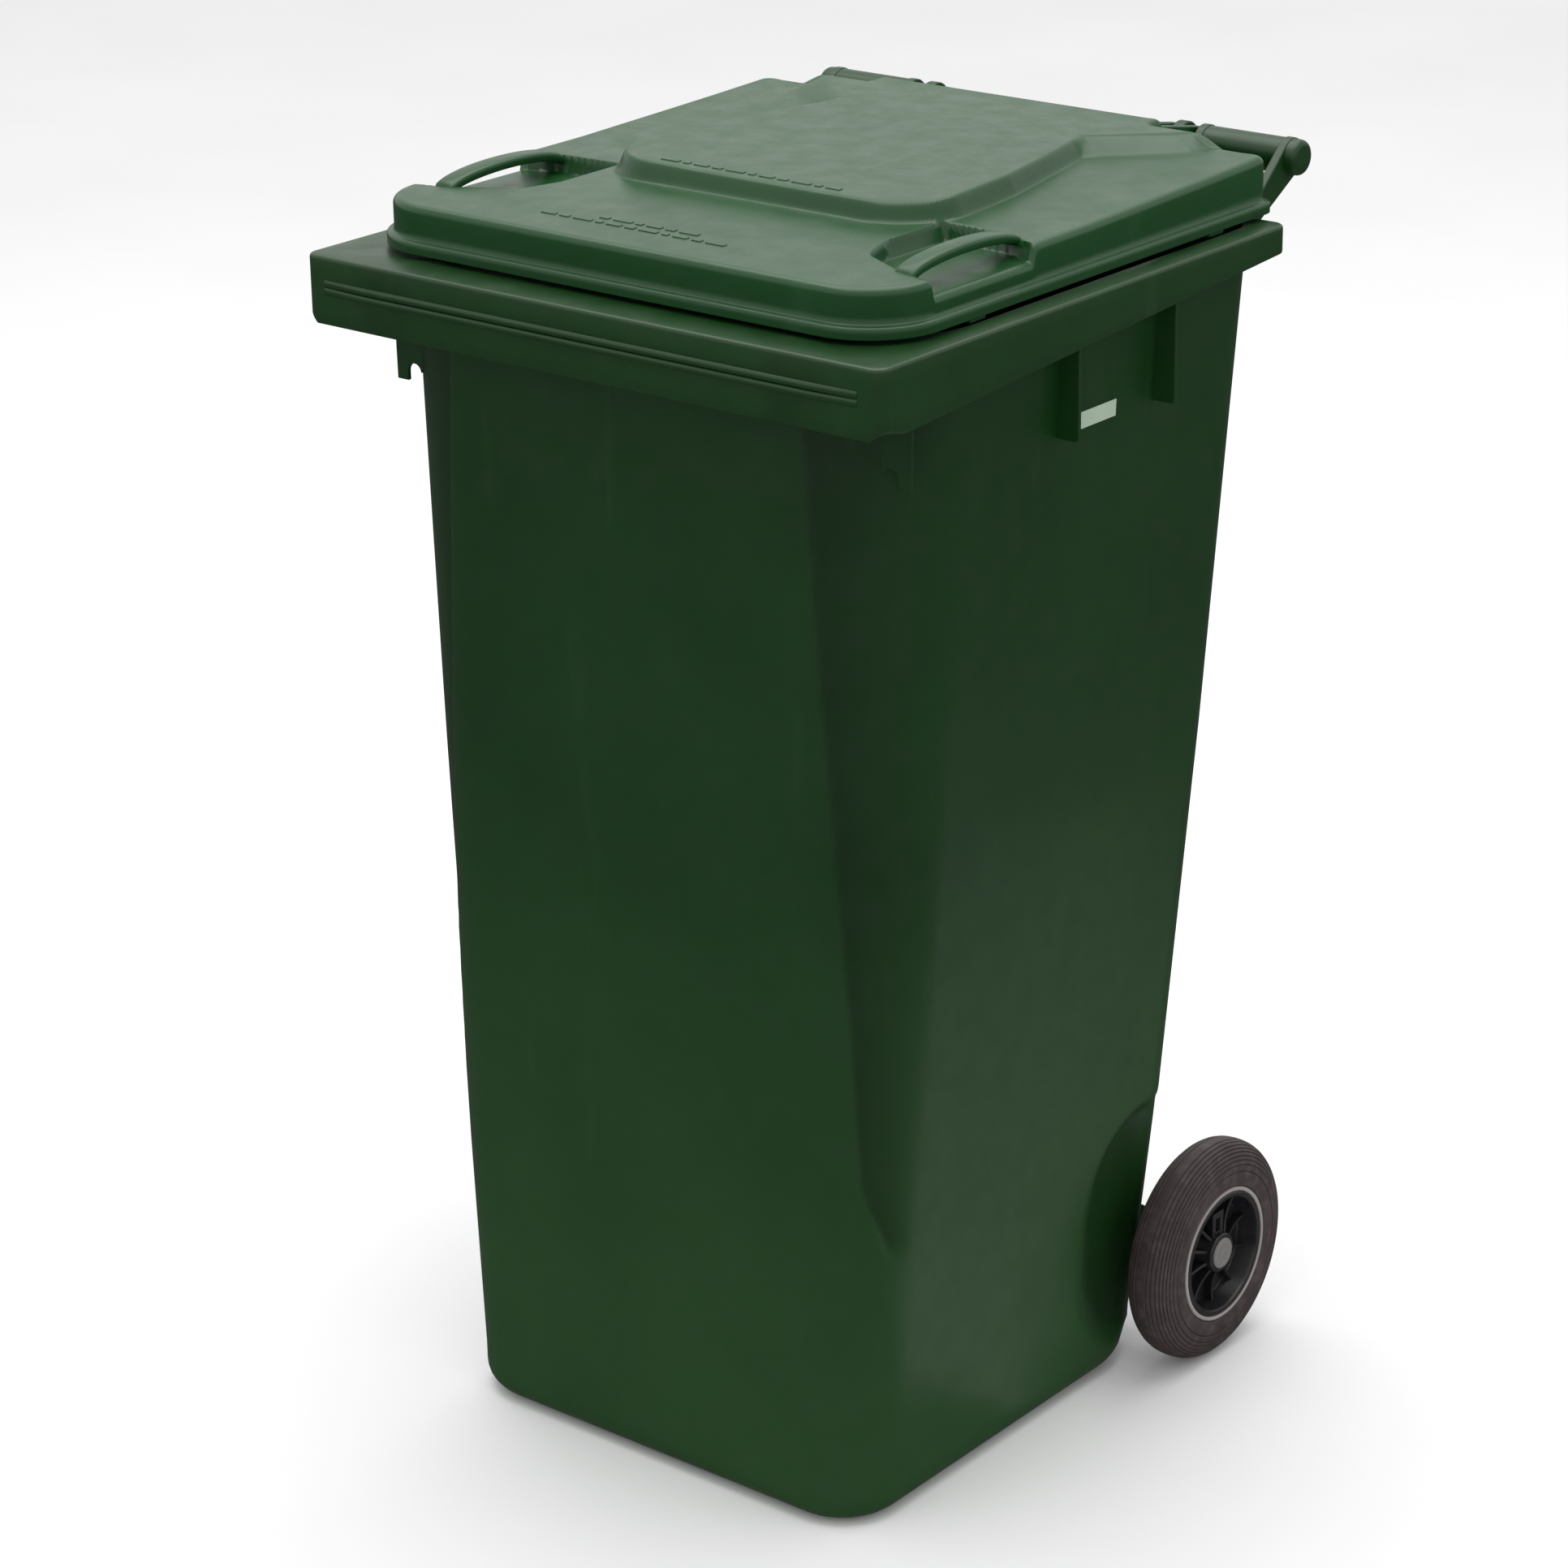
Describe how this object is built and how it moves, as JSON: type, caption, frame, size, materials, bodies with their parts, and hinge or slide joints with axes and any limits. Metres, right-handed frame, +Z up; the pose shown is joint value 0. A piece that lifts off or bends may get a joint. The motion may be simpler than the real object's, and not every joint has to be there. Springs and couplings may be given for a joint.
{
  "type": "wheelie bin",
  "caption": "Tall tapered two-wheeled refuse bin with lifting rim, hinged lid with finger grips, twin rear handles, and push-on rubber wheels on a steel axle.",
  "frame": {"origin": "on the ground under the middle of the overall width and length", "axes": "+X to the bin's right seen from its front, +Y back towards the wheels and handles, +Z up"},
  "size_m": [0.58, 0.641, 1.0789],
  "materials": {
    "body_green": "satin moulded polyethylene, fine grain",
    "lid_green": "satin moulded polyethylene, fine grain",
    "black_nylon": "satin moulded polyamide",
    "zinc_steel": "zinc-plated, drawn",
    "tyre_rubber": "matt, finely grooved",
    "hub_black": "satin moulded polypropylene",
    "cap_grey": "satin moulded polypropylene",
    "spring_steel": "drawn wire",
    "plate_pale": "matt blank marking plate"
  },
  "bodies": {
    "bin": {"bin_body": "body_green", "hinge_pin_left": "black_nylon", "hinge_pin_right": "black_nylon", "axle": "zinc_steel", "axle_washer_left": "black_nylon", "axle_washer_right": "black_nylon", "transponder": "black_nylon", "transponder_plug": "lid_green", "marking_plate": "plate_pale"},
    "lid": {"lid": "lid_green"},
    "wheel_left": {"tyre_left": "tyre_rubber", "wheel_hub_left": "hub_black", "hub_cap_left": "cap_grey", "latch_spring_left": "spring_steel"},
    "wheel_right": {"tyre_right": "tyre_rubber", "wheel_hub_right": "hub_black", "hub_cap_right": "cap_grey", "latch_spring_right": "spring_steel"},
    "latch_left": {"latch_pin_left": "zinc_steel"},
    "latch_right": {"latch_pin_right": "zinc_steel"}
  },
  "joints": [
    {"name": "lid_hinge", "type": "hinge", "parent": "bin", "child": "lid", "pos_m": [0, 0.3045, 1.05], "axis": [-1, 0, 0], "range_deg": [0, 270]},
    {"name": "wheel_spin_left", "type": "hinge", "parent": "bin", "child": "wheel_left", "pos_m": [-0.2585, 0.1825, 0.1], "axis": [1, 0, 0], "continuous": true},
    {"name": "latch_lift_left", "type": "slide", "parent": "wheel_left", "child": "latch_left", "axis": [0, 0, 1], "range_m": [0, 0.003], "stiffness_N_per_m": 900, "springref_m": -0.002, "deforming": ["latch_spring_left"]},
    {"name": "wheel_spin_right", "type": "hinge", "parent": "bin", "child": "wheel_right", "pos_m": [0.2585, 0.1825, 0.1], "axis": [1, 0, 0], "continuous": true},
    {"name": "latch_lift_right", "type": "slide", "parent": "wheel_right", "child": "latch_right", "axis": [0, 0, 1], "range_m": [0, 0.003], "stiffness_N_per_m": 900, "springref_m": -0.002, "deforming": ["latch_spring_right"]}
  ]
}
